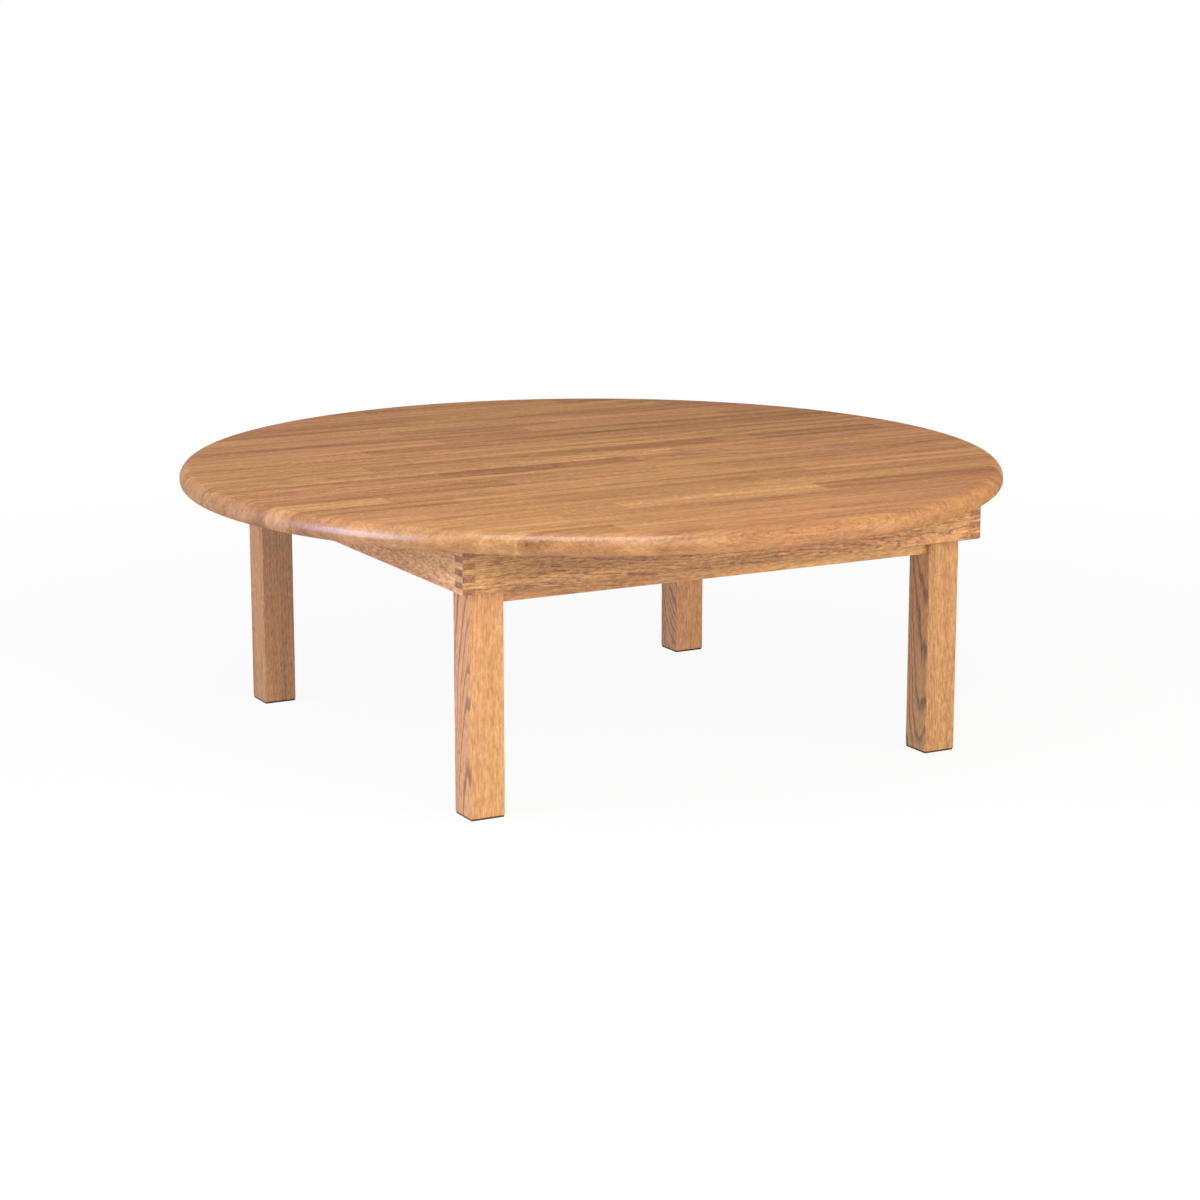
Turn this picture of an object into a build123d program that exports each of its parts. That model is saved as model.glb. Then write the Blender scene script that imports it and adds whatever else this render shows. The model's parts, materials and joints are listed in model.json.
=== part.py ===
from build123d import *
import os

# Round low table in solid oak whose legs fold flat under the top.
# Millimetres, +Z up. The origin is on the floor under the middle of the top.
# X runs along the front rail to the right and Y runs to the back. Two legs joined by a cross-rail make
# one folding pair: the front pair swings back and up, the back pair swings forward and up.

# Top
top_diameter = 1000.0
top_thickness = 25.0
top_upper_round = 15.0
top_lower_round = 9.5
overall_height = 335.0

# Frame of four finger-jointed rails
frame_side = 680.0
rail_height = 50.0
side_rail_thickness = 15.0
end_rail_thickness = 18.0  # front and back rails
finger_count = 7
rail_edge_round = 2.0
corner_round = 1.2

# Legs and their pivots
leg_size = 42.0
leg_edge_round = 2.0
leg_foot_chamfer = 0.5
leg_top_clearance = 1.5  # between the round leg head and the underside of the top
leg_rail_gap = 1.0  # between a leg and the front or back rail
spacer_thickness = 2.0
spacer_diameter = 22.0
side_play = 0.3  # end play of a leg between its spacer and the bolt head
bolt_diameter = 8.0
bolt_head_diameter = 16.0
bolt_head_height = 5.0
bolt_head_chamfer = 0.6
hex_key = 5.0
hex_key_depth = 3.0
bush_diameter = 12.0
running_clearance = 0.05
insert_diameter = 12.0
insert_length = 12.0

# Cross-rails
cross_rail_height = 30.0
cross_rail_thickness = 20.0
cross_rail_drop = 17.0  # how far it shows below the frame
cross_rail_setback = 6.0  # behind the outer faces of the legs
cross_rail_round = 1.5
tenon_past_middle = 5.0  # how far a tenon runs past the middle of its leg
tenon_thickness = 10.0
tenon_height = 20.0

# Foot pads
pad_thickness = 2.0
pad_inset = 0.6
pad_corner = 2.0

# Magnetic catch that keeps a leg upright
catch_diameter = 15.0
catch_drop = 17.5  # below the pivot
magnet_thickness = 5.0
magnet_proud = 0.5
catch_gap = 0.3
strike_thickness = 2.5
catch_screw_diameter = 3.0
magnet_screw_length = 13.0
strike_screw_length = 9.0

# Cleats that hold the top down on the frame
cleat_spacing = 180.0
cleats_per_rail = 3
cleat_width = 30.0
cleat_reach = 24.0
cleat_thickness = 12.0
cleat_setback = 1.0
cleat_round = 1.5
cleat_play = 1.0
tongue_length = 7.0
tongue_thickness = 5.5
tongue_drop = 5.0  # from the underside of the top
cleat_screw_diameter = 4.0
cleat_screw_length = 28.0

# Turn-buttons that hold the folded legs, and their blocks
block_length = 62.0
block_width = 20.0
block_screw_diameter = 4.0
block_screw_length = 36.0
block_screw_inset = 11.0
block_counterbore_diameter = 9.0
block_counterbore_depth = 24.0
button_length = 70.0
button_width = 20.0
button_thickness = 6.0
button_round = 1.0
button_rail_clearance = 3.0
button_play = 0.3
button_screw_diameter = 5.0
button_screw_length = 34.0
button_screw_head_diameter = 10.0
button_screw_head_height = 3.0
button_head_clearance = 0.4

# Fits
glue_gap = 0.05
head_ratio = 2.0  # countersunk head diameter over shank diameter
screw_tip = 3.0
screw_point_ratio = 0.25  # diameter of the blunt point over shank diameter
pilot_extra = 1.0  # pilot holes run this much past the screw
recess_length_ratio = 1.2  # of a cross recess, over the head's radius
recess_width_ratio = 0.3
recess_depth_ratio = 0.45

# Places that follow from the sizes
top_underside = overall_height - top_thickness
rail_bottom = top_underside - rail_height
rail_middle = top_underside - rail_height / 2
frame_edge = frame_side / 2
side_rail_inside = frame_edge - side_rail_thickness
end_rail_inside = frame_edge - end_rail_thickness
leg_half = leg_size / 2
tenon_length = leg_half + tenon_past_middle
leg_x = side_rail_inside - spacer_thickness - side_play - leg_half
leg_y = end_rail_inside - leg_rail_gap - leg_half
pivot_z = top_underside - leg_top_clearance - leg_half
catch_z = pivot_z - catch_drop
cross_rail_bottom = rail_bottom - cross_rail_drop
cross_rail_middle = cross_rail_bottom + cross_rail_height / 2
cross_rail_y = leg_y + leg_half - cross_rail_setback - cross_rail_thickness / 2
folded_leg_underside = pivot_z - leg_half
strike_proud = leg_rail_gap - magnet_proud - catch_gap
button_x = side_rail_inside - button_rail_clearance - button_length / 2
finger_height = rail_height / finger_count
block_height = top_underside - folded_leg_underside
cleat_y = end_rail_inside - cleat_setback - cleat_reach / 2

sides = {"left": -1, "right": 1}
ends = {"front": -1, "back": 1}
corners = [(end, side) for end in ends for side in sides]

to_top = (Align.CENTER, Align.CENTER, Align.MIN)
to_depth = (Align.CENTER, Align.CENTER, Align.MAX)

os.makedirs("parts", exist_ok=True)


def save(builder, label):
    builder.part.label = label
    export_step(builder.part, f"parts/{label}.step")


def head_radius(shank_diameter):
    return shank_diameter * head_ratio / 2


def pivot_plane(x, end, side):
    """Plane across a pivot axis at the distance x from the middle, facing the middle of the table."""
    return Plane(origin=(side * x, end * leg_y, pivot_z), z_dir=(-side, 0, 0))


def magnet_plane(end, side):
    """The face of a magnet, looking to the middle of the table."""
    return Plane(origin=(side * leg_x, end * (end_rail_inside - magnet_proud), catch_z), z_dir=(0, -end, 0))


def strike_plane(end, side):
    """The face of a strike disc, looking out at its magnet."""
    return Plane(origin=(side * leg_x, end * (leg_y + leg_half + strike_proud), catch_z), z_dir=(0, end, 0))


def add_cross_recess(place, radius):
    """Cut a cross recess into a screw head that faces up at the place."""
    length = radius * recess_length_ratio
    width = radius * recess_width_ratio
    depth = radius * recess_depth_ratio
    with Locations(place):
        Box(width, length, depth, align=to_depth, mode=Mode.SUBTRACT)
        Box(length, width, depth, align=to_depth, mode=Mode.SUBTRACT)


def add_screw_shank(place, diameter, length):
    """A shank with a tapered point that runs down from the place."""
    radius = diameter / 2
    with Locations(place):
        Cylinder(radius, length - screw_tip, align=to_depth)
    with Locations(place * Location((0, 0, screw_tip - length))):
        Cone(radius * screw_point_ratio, radius, screw_tip, align=to_depth)


def add_wood_screw(place, diameter, length):
    """A countersunk wood screw whose head lies flush with the place and whose tip points down from it."""
    head = head_radius(diameter)
    with Locations(place):
        Cone(diameter / 2, head, head - diameter / 2, align=to_depth)
    add_screw_shank(place, diameter, length)
    add_cross_recess(place, head)


def cut_screw_seat(place, diameter, length):
    """The countersunk hole that such a screw passes through or runs into."""
    with Locations(place):
        CounterSinkHole(
            radius=diameter / 2 + glue_gap,
            counter_sink_radius=head_radius(diameter) + glue_gap,
            depth=length + pilot_extra,
        )


def cut_pilot(place, diameter, length):
    """The plain hole that a screw's shank runs into."""
    with Locations(place):
        Hole(diameter / 2 + glue_gap, depth=length + pilot_extra)


# Screw places: each location has its Z axis out of the screw's head
def cleat_places(end):
    first = -cleat_spacing * (cleats_per_rail - 1) / 2
    z = top_underside - cleat_thickness
    return [
        Plane(origin=(first + cleat_spacing * i, ends[end] * cleat_y, z), z_dir=(0, 0, -1)).location
        for i in range(cleats_per_rail)
    ]


def block_screw_places(side):
    near_rail = side_rail_inside - block_screw_inset
    near_middle = side_rail_inside - block_length + block_screw_inset
    z = folded_leg_underside + block_counterbore_depth
    return [
        Plane(origin=(sides[side] * x, 0, z), z_dir=(0, 0, -1)).location for x in (near_rail, near_middle)
    ]


def button_screw_place(side):
    z = folded_leg_underside - button_play - button_thickness
    z += button_screw_head_height
    return Plane(origin=(sides[side] * button_x, 0, z), z_dir=(0, 0, -1)).location


# Tabletop: staves glued edge to edge into one disc, with pilot holes for the screws from below
with BuildPart() as tabletop:
    with BuildSketch(Plane.XY.offset(top_underside)):
        Circle(top_diameter / 2)
    extrude(amount=top_thickness)
    fillet(tabletop.edges().group_by(Axis.Z)[-1], top_upper_round)
    fillet(tabletop.edges().group_by(Axis.Z)[0], top_lower_round)
    for end in ends:
        for place in cleat_places(end):
            cut_pilot(place, cleat_screw_diameter, cleat_screw_length)
    for side in sides:
        for place in block_screw_places(side):
            cut_pilot(place, block_screw_diameter, block_screw_length)
save(tabletop, "tabletop")


def finger_levels(first):
    """Heights of every other finger, counted down from the top of the rail."""
    return [top_underside - finger_height * (i + 0.5) for i in range(first, finger_count, 2)]


# Side rails own the first, third, fifth and seventh fingers of each corner
for side, sx in sides.items():
    outer = 0 if sx < 0 else -1
    with BuildPart() as side_rail:
        with Locations((sx * (frame_edge - side_rail_thickness / 2), 0, rail_middle)):
            Box(side_rail_thickness, frame_side, rail_height)
        for ey in ends.values():
            for level in finger_levels(1):
                with Locations((sx * (frame_edge - side_rail_thickness / 2), ey * frame_edge, level)):
                    Box(
                        side_rail_thickness,
                        2 * (end_rail_thickness + glue_gap),
                        finger_height + glue_gap,
                        mode=Mode.SUBTRACT,
                    )
            with Locations(pivot_plane(side_rail_inside, ey, sx)):
                Hole(insert_diameter / 2 + glue_gap, depth=insert_length + glue_gap)
        upright = side_rail.edges().filter_by(Axis.Z).group_by(Axis.X)[outer]
        fillet(upright.group_by(Axis.Y)[0] + upright.group_by(Axis.Y)[-1], corner_round)
        lower = side_rail.edges().filter_by(Axis.Y).group_by(Axis.Z)[0]
        fillet(lower.group_by(Axis.X)[outer], rail_edge_round)
    save(side_rail, f"{side}_rail")

# Front and back rails own the fingers in between, and hold the catch magnets and the cleats' tongues
for end, ey in ends.items():
    outer = 0 if ey < 0 else -1
    with BuildPart() as end_rail:
        with Locations((0, ey * (frame_edge - end_rail_thickness / 2), rail_middle)):
            Box(frame_side, end_rail_thickness, rail_height)
        for sx in sides.values():
            for level in finger_levels(0):
                with Locations((sx * frame_edge, ey * (frame_edge - end_rail_thickness / 2), level)):
                    Box(
                        2 * (side_rail_thickness + glue_gap),
                        end_rail_thickness,
                        finger_height + glue_gap,
                        mode=Mode.SUBTRACT,
                    )
            magnet_face = magnet_plane(ey, sx).location
            with Locations(magnet_face):
                Hole(catch_diameter / 2 + glue_gap, depth=magnet_thickness + glue_gap)
            cut_pilot(magnet_face, catch_screw_diameter, magnet_screw_length)
        for place in cleat_places(end):
            mortise_top = top_underside - tongue_drop
            with Locations((place.position.X, ey * end_rail_inside, mortise_top)):
                Box(
                    cleat_width + 2 * cleat_play,
                    2 * (tongue_length + cleat_play),
                    tongue_thickness + cleat_play,
                    align=to_depth,
                    mode=Mode.SUBTRACT,
                )
        upright = end_rail.edges().filter_by(Axis.Z).group_by(Axis.Y)[outer]
        fillet(upright.group_by(Axis.X)[0] + upright.group_by(Axis.X)[-1], corner_round)
        lower = end_rail.edges().filter_by(Axis.X).group_by(Axis.Z)[0]
        fillet(lower.group_by(Axis.Y)[outer], rail_edge_round)
    save(end_rail, f"{end}_rail")

# Cleats: a block under the top with a tongue in the rail's mortise, so that the top can move
for end, ey in ends.items():
    for number, place in enumerate(cleat_places(end), start=1):
        x = place.position.X
        with BuildPart() as cleat:
            with Locations((x, ey * cleat_y, top_underside)):
                Box(cleat_width, cleat_reach, cleat_thickness, align=to_depth)
            fillet(cleat.edges().filter_by(Axis.Z), cleat_round)
            with Locations((x, ey * end_rail_inside, top_underside - tongue_drop)):
                Box(
                    cleat_width - 2 * cleat_round,
                    2 * tongue_length,
                    tongue_thickness,
                    align=to_depth,
                )
            cut_screw_seat(place, cleat_screw_diameter, cleat_screw_length)
        save(cleat, f"{end}_cleat_{number}")

with BuildPart() as cleat_screws:
    for end in ends:
        for place in cleat_places(end):
            add_wood_screw(place, cleat_screw_diameter, cleat_screw_length)
save(cleat_screws, "cleat_screws")

# Legs: square, with a round head about the pivot so that they turn under the top
for end, side in corners:
    ey = ends[end]
    sx = sides[side]
    middle = ey * leg_y
    with BuildPart() as leg:
        with BuildSketch(Plane.YZ.offset(sx * leg_x)):
            with BuildLine():
                shaft = Polyline(
                    (middle + leg_half, pivot_z),
                    (middle + leg_half, pad_thickness),
                    (middle - leg_half, pad_thickness),
                    (middle - leg_half, pivot_z),
                )
                ThreePointArc(shaft @ 1, (middle, pivot_z + leg_half), shaft @ 0)
            make_face()
        extrude(amount=leg_half, both=True)
        cheeks = leg.faces().filter_by(Axis.X).edges()
        foot = leg.faces().sort_by(Axis.Z)[0].edges()
        fillet([edge for edge in cheeks if edge not in foot], leg_edge_round)
        chamfer(leg.faces().sort_by(Axis.Z)[0].edges(), leg_foot_chamfer)
        with Locations(pivot_plane(leg_x - leg_half, ey, sx)):
            Hole(bush_diameter / 2 + glue_gap)
        with Locations((sx * (leg_x - leg_half), ey * cross_rail_y, cross_rail_middle)):
            Box(
                2 * (tenon_length + glue_gap),
                tenon_thickness + 2 * glue_gap,
                tenon_height + 2 * glue_gap,
                mode=Mode.SUBTRACT,
            )
        strike_face = strike_plane(ey, sx).location
        with Locations(strike_face):
            Hole(catch_diameter / 2 + glue_gap, depth=strike_thickness + glue_gap)
        cut_pilot(strike_face, catch_screw_diameter, strike_screw_length)
    save(leg, f"{end}_{side}_leg")

# Cross-rails: tenoned into the two legs of a pair
for end, ey in ends.items():
    with BuildPart() as cross_rail:
        with Locations((0, ey * cross_rail_y, cross_rail_middle)):
            Box(2 * (leg_x - leg_half), cross_rail_thickness, cross_rail_height)
            fillet(cross_rail.edges().filter_by(Axis.X), cross_rail_round)
            Box(2 * (leg_x - leg_half + tenon_length), tenon_thickness, tenon_height)
    save(cross_rail, f"{end}_cross_rail")

# Pivot hardware
for end, side in corners:
    with BuildPart() as pivot_bush:
        with Locations((sides[side] * leg_x, ends[end] * leg_y, pivot_z)):
            Cylinder(bush_diameter / 2, leg_size, rotation=(0, 90, 0))
        with Locations(pivot_plane(leg_x - leg_half, ends[end], sides[side])):
            Hole(bolt_diameter / 2 + running_clearance)
    save(pivot_bush, f"{end}_{side}_pivot_bush")

with BuildPart() as pivot_bolts:
    head_seat = leg_x - leg_half - side_play
    shank_length = side_rail_inside + insert_length - head_seat
    for end, side in corners:
        seat = pivot_plane(head_seat, ends[end], sides[side])
        with Locations(seat):
            Cylinder(bolt_diameter / 2, shank_length, align=to_depth)
            Cylinder(bolt_head_diameter / 2, bolt_head_height, align=to_top)
    head_faces = pivot_bolts.faces().group_by(lambda face: abs(face.center().X))[0]
    chamfer(head_faces.edges(), bolt_head_chamfer)
    for end, side in corners:
        with BuildSketch(pivot_plane(head_seat - bolt_head_height, ends[end], sides[side])):
            RegularPolygon(hex_key / 2, 6, major_radius=False)
        extrude(amount=-hex_key_depth, mode=Mode.SUBTRACT)
save(pivot_bolts, "pivot_bolts")

with BuildPart() as threaded_inserts:
    for end, side in corners:
        with Locations(pivot_plane(side_rail_inside, ends[end], sides[side])):
            Cylinder(insert_diameter / 2, insert_length, align=to_depth)
            Cylinder(
                bolt_diameter / 2 + running_clearance,
                insert_length,
                align=to_depth,
                mode=Mode.SUBTRACT,
            )
save(threaded_inserts, "threaded_inserts")

with BuildPart() as spacer_washers:
    for end, side in corners:
        with Locations(pivot_plane(side_rail_inside, ends[end], sides[side])):
            Cylinder(spacer_diameter / 2, spacer_thickness, align=to_top)
            Cylinder(
                bolt_diameter / 2 + running_clearance,
                spacer_thickness,
                align=to_top,
                mode=Mode.SUBTRACT,
            )
save(spacer_washers, "spacer_washers")

# Catches: a magnet in the rail faces a steel strike in the leg
for end, side in corners:
    magnet_face = magnet_plane(ends[end], sides[side]).location
    with BuildPart() as catch_magnet:
        with Locations(magnet_face):
            Cylinder(catch_diameter / 2, magnet_thickness, align=to_depth)
        cut_screw_seat(magnet_face, catch_screw_diameter, magnet_screw_length)
    save(catch_magnet, f"{end}_{side}_catch_magnet")

    strike_face = strike_plane(ends[end], sides[side]).location
    with BuildPart() as strike_disc:
        with Locations(strike_face):
            Cylinder(catch_diameter / 2, strike_thickness, align=to_depth)
        cut_screw_seat(strike_face, catch_screw_diameter, strike_screw_length)
    save(strike_disc, f"{end}_{side}_strike_disc")

with BuildPart() as magnet_screws:
    for end, side in corners:
        magnet_face = magnet_plane(ends[end], sides[side]).location
        add_wood_screw(magnet_face, catch_screw_diameter, magnet_screw_length)
save(magnet_screws, "magnet_screws")

for end, ey in ends.items():
    with BuildPart() as strike_screws:
        for sx in sides.values():
            add_wood_screw(strike_plane(ey, sx).location, catch_screw_diameter, strike_screw_length)
    save(strike_screws, f"{end}_strike_screws")

# Latch blocks and turn-buttons: turned across, a button holds one foot of each folded pair up
for side, sx in sides.items():
    with BuildPart() as latch_block:
        with Locations((sx * (side_rail_inside - block_length / 2), 0, folded_leg_underside)):
            Box(block_length, block_width, block_height, align=to_top)
        outer_edges = latch_block.edges().filter_by(Axis.Z).group_by(Axis.X)
        fillet(outer_edges[-1] if sx < 0 else outer_edges[0], cleat_round)
        for place in block_screw_places(side):
            cut_screw_seat(place, block_screw_diameter, block_screw_length)
            with Locations((place.position.X, 0, folded_leg_underside)):
                Cylinder(
                    block_counterbore_diameter / 2,
                    block_counterbore_depth,
                    align=to_top,
                    mode=Mode.SUBTRACT,
                )
        cut_pilot(button_screw_place(side), button_screw_diameter, button_screw_length)
    save(latch_block, f"{side}_latch_block")

    button_bottom = folded_leg_underside - button_play - button_thickness
    with BuildPart() as turn_button:
        with BuildSketch(Plane((sx * button_x, 0, button_bottom))):
            SlotOverall(button_length, button_width)
        extrude(amount=button_thickness)
        fillet(turn_button.edges().group_by(Axis.Z)[0], button_round)
        with Locations(button_screw_place(side)):
            Hole(button_screw_diameter / 2 + running_clearance)
        with Locations((sx * button_x, 0, button_bottom)):
            Cylinder(
                button_screw_head_diameter / 2 + button_head_clearance,
                button_screw_head_height + button_head_clearance,
                align=to_top,
                mode=Mode.SUBTRACT,
            )
    save(turn_button, f"{side}_turn_button")

with BuildPart() as block_screws:
    for side in sides:
        for place in block_screw_places(side):
            add_wood_screw(place, block_screw_diameter, block_screw_length)
save(block_screws, "block_screws")

with BuildPart() as button_screws:
    for side in sides:
        place = button_screw_place(side)
        with Locations(place):
            Cylinder(button_screw_head_diameter / 2, button_screw_head_height, align=to_top)
        add_screw_shank(place, button_screw_diameter, button_screw_length)
        top_of_head = place * Location((0, 0, button_screw_head_height))
        add_cross_recess(top_of_head, button_screw_head_diameter / 2)
save(button_screws, "button_screws")

# Felt pads under the feet
for end, side in corners:
    pad_side = leg_size - 2 * pad_inset
    with BuildPart() as foot_pad:
        with BuildSketch(Plane((sides[side] * leg_x, ends[end] * leg_y, 0))):
            RectangleRounded(pad_side, pad_side, pad_corner)
        extrude(amount=pad_thickness)
    save(foot_pad, f"{end}_{side}_foot_pad")
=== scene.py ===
import json
import math
import random

import bmesh
import bpy
from mathutils import Euler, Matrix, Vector


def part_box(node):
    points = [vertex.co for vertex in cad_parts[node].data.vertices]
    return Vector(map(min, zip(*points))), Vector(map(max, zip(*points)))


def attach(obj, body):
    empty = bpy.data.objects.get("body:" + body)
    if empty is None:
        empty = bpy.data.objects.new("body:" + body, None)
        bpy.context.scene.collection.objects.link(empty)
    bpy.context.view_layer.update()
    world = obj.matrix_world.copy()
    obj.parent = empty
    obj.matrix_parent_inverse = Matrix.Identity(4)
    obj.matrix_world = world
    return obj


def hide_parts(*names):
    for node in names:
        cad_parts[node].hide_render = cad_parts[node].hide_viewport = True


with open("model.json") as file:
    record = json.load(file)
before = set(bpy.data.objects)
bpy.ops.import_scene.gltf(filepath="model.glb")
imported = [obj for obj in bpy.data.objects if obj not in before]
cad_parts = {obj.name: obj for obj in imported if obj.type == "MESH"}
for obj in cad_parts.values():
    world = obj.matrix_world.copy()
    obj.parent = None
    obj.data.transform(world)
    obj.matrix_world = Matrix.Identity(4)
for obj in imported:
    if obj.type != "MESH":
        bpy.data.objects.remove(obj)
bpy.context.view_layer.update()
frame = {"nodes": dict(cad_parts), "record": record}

scene = bpy.context.scene
scene.view_settings.view_transform = "Standard"
millimetre = 0.001


def linearColour(hexColour):
    # sRGB hex to the linear RGBA that sockets take
    channels = [int(hexColour[i:i + 2], 16) / 255 for i in (1, 3, 5)]
    return (*[c / 12.92 if c <= 0.04045 else ((c + 0.055) / 1.055) ** 2.4 for c in channels], 1.0)


def addNode(tree, kind, settings=None, links=None):
    # settings are the node's own properties; links take a socket or a plain value for each input
    node = tree.nodes.new(kind)
    for key, value in (settings or {}).items():
        setattr(node, key, value)
    for key, value in (links or {}).items():
        if isinstance(value, bpy.types.NodeSocket):
            tree.links.new(value, node.inputs[key])
        else:
            node.inputs[key].default_value = value
    return node


def newMaterial(name):
    material = bpy.data.materials.new(name)
    material.use_nodes = True
    material.node_tree.nodes.clear()
    return material, material.node_tree


def pieceFromMesh(name, mesh, material, body, stoodFor):
    # a finished piece: at the origin, one material, riding on its body in place of the node that
    # it stands for
    piece = bpy.data.objects.new(name, mesh)
    scene.collection.objects.link(piece)
    mesh.materials.clear()
    mesh.materials.append(material)
    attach(piece, body)
    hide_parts(*stoodFor)


# oiled oak
# White oak, planed, sanded and oiled. The oil leaves a warm satin skin that is glossier on the
# dense late wood than in the open pores, so the rings show as soft brown bands and the pores as
# short dark dashes. Sizes are in millimetres in the log: along the grain, and across it from the
# pith.
oak = {
    "ringDrift": 0.07,           # how fast ring widths change, per mm of radius
    "ringPlay": 5.0,             # and by how many rings they run ahead or behind
    "swayDepth": 17.0,           # how far a trunk's bends move the rings aside
    "earlyRise": (0.0, 0.2),     # where in the early wood its colour sets in
    "earlyFall": (0.25, 1.0),    # and where it fades into late wood
    "edgeOnContrast": 0.3,       # of the rings' contrast, on faces that cut them edge on
    "edgeOnTurn": (0.35, 0.85),  # from edge on to flat sawn
    "openPores": (0.52, 0.68),   # of the noise, from closed to open
    "latePores": 0.25,           # share of the pores that late wood keeps
    "poreTint": 0.5,
    "rayHeight": 5.0,            # rays stand up to 6 mm along the grain
    "rayReach": 9.0,             # and run 10 mm and more out from the pith
    "rayThickness": 1.1,         # real ones are under 0.5 mm: drawn thicker so that they show
    "rayRadius": 90.0,           # they are that thick at this distance from the pith
    "rayNoise": (0.56, 0.68),
    "shadeNoise": (0.25, 0.75),  # what the noise for streaks and bundles mostly keeps to
    "plankTones": (-0.4, 1.2),   # as dark and as light as a plank gets
    "castLean": (0.82, 1.18),    # from the first cast to the second
    "endGrainTurn": (0.45, 0.95),
    "roughness": 0.18,
    "grazingRoughness": 0.95,
    "grazingTurn": (0.2, 0.75),
    "poreRoughness": 0.25,       # added where pores are open
    "ior": 1.5,
    "specular": 0.65,
    "earlyDip": 0.25,            # how deep early wood lies, over a pore's depth
    "bumpDepth": 0.35,
    "bumpStrength": 0.35,
}
oakNoises = {
    # length along the grain and width across it in mm, detail, roughness
    "sway": (420.0, 130.0, 2.0, 0.45),  # a trunk's bends
    "fuzz": (45.0, 6.0, 2.0, 0.5),      # small waves in a ring's line
    "pore": (8.0, 1.0, 1.0, 0.5),       # real pores are 0.3 mm wide: drawn wider so that they show
    "bundle": (9.0, 2.3, 2.0, 0.6),     # bundles of fibres give side grain its mottle
    "streak": (330.0, 16.0, 3.0, 0.6),  # broad mineral and sapwood streaks
}
oakColours = {
    # for each: a dark plank and a light one
    "lateWood": ("#9f6d3f", "#e5ac70"),
    "earlyWood": ("#6a452f", "#a5744f"),
    "pore": ("#4d3222", "#82593d"),
    "ray": ("#c5945f", "#f2cc99"),
    "endGrain": ("#b5a6b1", "#c6b8be"),
}
# heartwood leans to gold in one streak and to rose in the next, and the top's extra oil makes it
# warmer
oakCasts = ("#fcffee", "#fff7fa")
topCasts = ("#fffee9", "#fff3f3")

# from the piece's axes to the log's, whose X runs along the grain
logTurns = {
    "X": Euler((0, 0, 0)),
    "Y": Euler((0, 0, -math.pi / 2)),
    "Z": Euler((0, math.pi / 2, 0)),
}
grainAxes = {"X": (1, 0, 0), "Y": (0, 1, 0), "Z": (0, 0, 1)}


def logNoise(tree, log, kind):
    # noise that is stretched along the grain
    length, width, detail, roughness = oakNoises[kind]
    place = addNode(tree, "ShaderNodeVectorMath", {"operation": "DIVIDE"},
                    {0: log, 1: (length, width, width)})
    return addNode(tree, "ShaderNodeTexNoise", None,
                   {"Vector": place.outputs[0], "Scale": 1.0, "Detail": detail,
                    "Roughness": roughness})


def growthRings(tree, log, across, radius, faceWay, contrast, ringWidth, band, wave):
    # how much of the early wood shows: rings of uneven width, with a fine wave in each line
    driftPlace = addNode(tree, "ShaderNodeMath", {"operation": "MULTIPLY"},
                         {0: radius, 1: oak["ringDrift"]})
    drift = addNode(tree, "ShaderNodeTexNoise", {"noise_dimensions": "1D"},
                    {"W": driftPlace.outputs[0], "Scale": 1.0, "Detail": 1.0})
    waved = addNode(tree, "ShaderNodeMath", {"operation": "MULTIPLY"},
                    {0: logNoise(tree, log, "fuzz").outputs["Fac"], 1: wave})
    uneven = addNode(tree, "ShaderNodeMath", {"operation": "MULTIPLY_ADD"},
                     {0: drift.outputs["Fac"], 1: oak["ringPlay"], 2: waved.outputs[0]})
    count = addNode(tree, "ShaderNodeMath", {"operation": "MULTIPLY_ADD"},
                    {0: radius, 1: 1 / ringWidth, 2: uneven.outputs[0]})
    ring = addNode(tree, "ShaderNodeMath", {"operation": "FRACT"},
                   {0: count.outputs[0]}).outputs[0]
    rise = addNode(tree, "ShaderNodeMapRange", {"interpolation_type": "SMOOTHSTEP"},
                   {"Value": ring, "From Min": oak["earlyRise"][0] * band,
                    "From Max": oak["earlyRise"][1] * band})
    fall = addNode(tree, "ShaderNodeMapRange", {"interpolation_type": "SMOOTHSTEP"},
                   {"Value": ring, "From Min": oak["earlyFall"][0] * band,
                    "From Max": oak["earlyFall"][1] * band, "To Min": contrast, "To Max": 0.0})
    banded = addNode(tree, "ShaderNodeMath", {"operation": "MULTIPLY"},
                     {0: rise.outputs[0], 1: fall.outputs[0]})
    # they show most on faces that run along them
    outward = addNode(tree, "ShaderNodeVectorMath", {"operation": "NORMALIZE"}, {0: across})
    alongRings = addNode(tree, "ShaderNodeVectorMath", {"operation": "DOT_PRODUCT"},
                         {0: outward.outputs[0], 1: faceWay})
    flatSawn = addNode(tree, "ShaderNodeMath", {"operation": "ABSOLUTE"},
                       {0: alongRings.outputs["Value"]})
    shown = addNode(tree, "ShaderNodeMapRange", {"interpolation_type": "SMOOTHSTEP"},
                    {"Value": flatSawn.outputs[0], "From Min": oak["edgeOnTurn"][0],
                     "From Max": oak["edgeOnTurn"][1], "To Min": oak["edgeOnContrast"],
                     "To Max": 1.0})
    return addNode(tree, "ShaderNodeMath", {"operation": "MULTIPLY"},
                   {0: banded.outputs[0], 1: shown.outputs[0]}).outputs[0]


def poresOf(tree, log, early):
    # pores: dashes along the grain, most of them in the early wood
    openPore = addNode(tree, "ShaderNodeMapRange", {"interpolation_type": "SMOOTHSTEP"},
                       {"Value": logNoise(tree, log, "pore").outputs["Fac"],
                        "From Min": oak["openPores"][0], "From Max": oak["openPores"][1]})
    where = addNode(tree, "ShaderNodeMapRange", None,
                    {"Value": early, "To Min": oak["latePores"], "To Max": 1.0})
    return addNode(tree, "ShaderNodeMath", {"operation": "MULTIPLY"},
                   {0: openPore.outputs[0], 1: where.outputs[0]}).outputs[0]


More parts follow.
